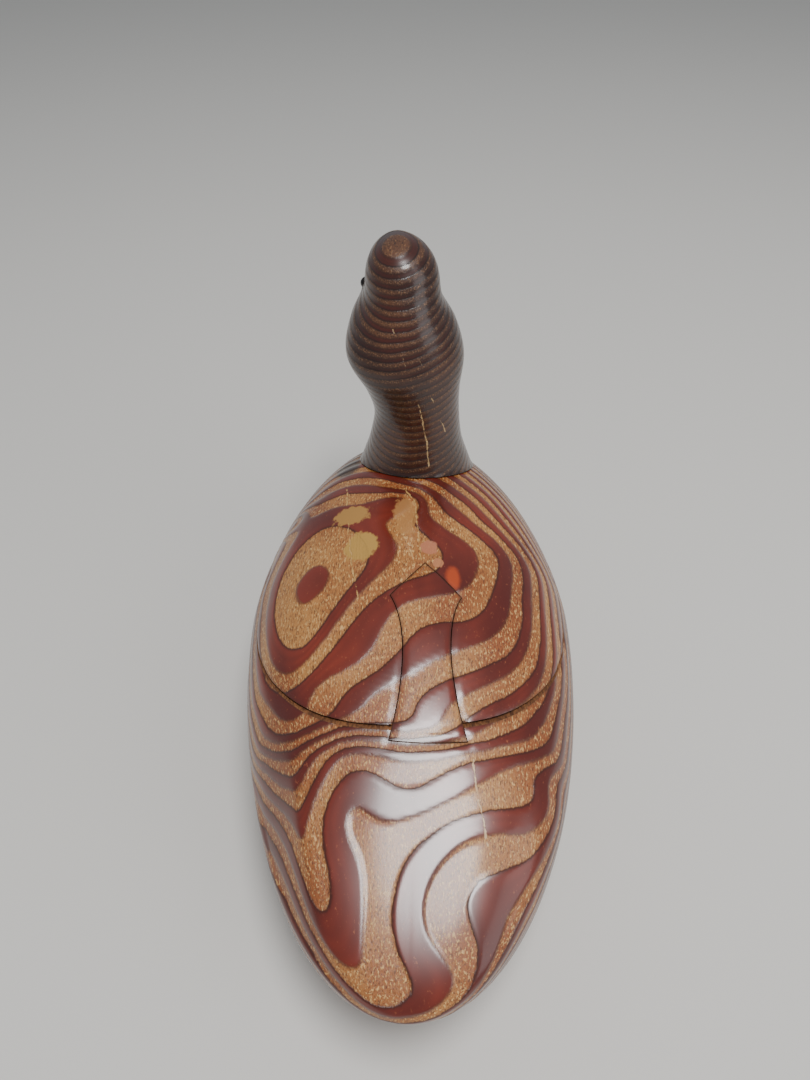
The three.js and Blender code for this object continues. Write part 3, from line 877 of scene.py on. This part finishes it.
# The eyes: small round beads of polished black, glued in drilled sockets.
bead = bpy.data.materials.new("black bead")
bead.use_nodes = True
bead_tree = bead.node_tree
bead_tree.nodes.clear()
bead_place = node(bead_tree, "ShaderNodeTexCoord").outputs["Object"]
bead_dust = noise(bead_tree, bead_place, (0.8, 0.8, 0.8), 3.0)
bead_haze = ramp(bead_tree, bead_dust, 0.4, 0.75, 0.0, 0.6)
bead_colour = blend(bead_tree, bead_haze, paint("0b0908"), paint("241a14"))
bead_rough = ramp(bead_tree, bead_dust, 0.35, 0.75, 0.06, 0.22)
bead_finish = {"Base Color": bead_colour, "Roughness": bead_rough, "IOR": 1.5}
bead_shader = node(bead_tree, "ShaderNodeBsdfPrincipled", bead_finish)
bead_tree.links.new(bead_shader.outputs[0], node(bead_tree, "ShaderNodeOutputMaterial").inputs[0])
for side, name in ((1, "eye_left"), (-1, "eye_right")):
    eye = solid("bead_" + name, ball(name, eye_middle(side), EYE["radius"]))
    eye.data.materials.append(bead)
    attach(eye, "root")
    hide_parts(name)

# The floor, the light and the camera: a plain pale floor, one soft lamp overhead, and a phone's
# wide view from behind and above, as in the photograph.
floor_mesh = bpy.data.meshes.new("floor")
floor_mesh.from_pydata([(-3, -3, 0), (3, -3, 0), (3, 3, 0), (-3, 3, 0)], [], [(0, 1, 2, 3)])
floor = solid("floor", floor_mesh)
floor_paint = bpy.data.materials.new("pale floor")
floor_paint.use_nodes = True
floor_paint.node_tree.nodes["Principled BSDF"].inputs["Base Color"].default_value = paint("d2cfca")
floor_paint.node_tree.nodes["Principled BSDF"].inputs["Roughness"].default_value = 0.9
floor.data.materials.append(floor_paint)


def lamp(name, place, target, size, power):
    light = bpy.data.lights.new(name, "AREA")
    light.shape, light.size, light.energy = "DISK", size, power
    thing = bpy.data.objects.new(name, light)
    thing.location = place
    thing.rotation_euler = (Vector(target) - Vector(place)).to_track_quat("-Z", "Y").to_euler()
    bpy.context.scene.collection.objects.link(thing)


lamp("overhead", (-0.12, 0.30, 1.20), (0, 0.02, 0.05), 0.45, 14)
lamp("fill", (-1.0, 0.6, 0.7), (0, 0, 0.05), 1.0, 4)
sky = bpy.data.worlds.new("studio")
sky.use_nodes = True
sky.node_tree.nodes["Background"].inputs[0].default_value = (0.8, 0.85, 0.9, 1)
sky.node_tree.nodes["Background"].inputs[1].default_value = 0.35
bpy.context.scene.world = sky

CAMERA_PLACE, CAMERA_DOWN = (0.0018, 0.185, 0.275), 44
camera = bpy.data.objects.new("camera", bpy.data.cameras.new("camera"))
camera.data.sensor_fit, camera.data.sensor_height, camera.data.lens = "VERTICAL", 36, 27.03
camera.data.clip_start = 0.01
camera.location = CAMERA_PLACE
camera.rotation_euler = (math.radians(90 - CAMERA_DOWN), 0, math.radians(180))
bpy.context.scene.collection.objects.link(camera)
bpy.context.scene.camera = camera
